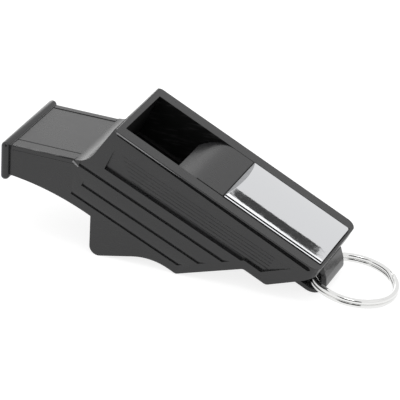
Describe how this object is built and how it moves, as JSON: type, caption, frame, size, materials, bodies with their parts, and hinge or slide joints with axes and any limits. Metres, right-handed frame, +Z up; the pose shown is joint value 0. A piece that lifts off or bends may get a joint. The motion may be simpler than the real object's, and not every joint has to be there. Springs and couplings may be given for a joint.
{
  "type": "sports whistle",
  "caption": "Pealess sports whistle with a flat mouthpiece, a top sound window, a bright plate on the sloping top and a split ring on a rear loop.",
  "frame": {"origin": "on the surface the whistle stands on, under the middle of the whole object", "axes": "+X from the mouthpiece to the ring, +Y across the width, +Z up"},
  "size_m": [0.0726, 0.021, 0.0258],
  "materials": {
    "body_plastic": "satin moulded",
    "plate_chrome": "polished, lightly scuffed",
    "ring_steel": "nickel plated wire"
  },
  "bodies": {
    "whistle": {"body_shell": "body_plastic", "mouthpiece_cover": "body_plastic", "windway_block": "body_plastic", "ramp_insert": "body_plastic", "name_plate": "plate_chrome", "lanyard_loop": "body_plastic"},
    "ring": {"split_ring": "ring_steel"}
  },
  "joints": [
    {"name": "ring_swing", "type": "hinge", "parent": "whistle", "child": "ring", "pos_m": [0.02156, 0, 0.00283], "axis": [0, 1, 0], "range_deg": [-42, 155]}
  ]
}
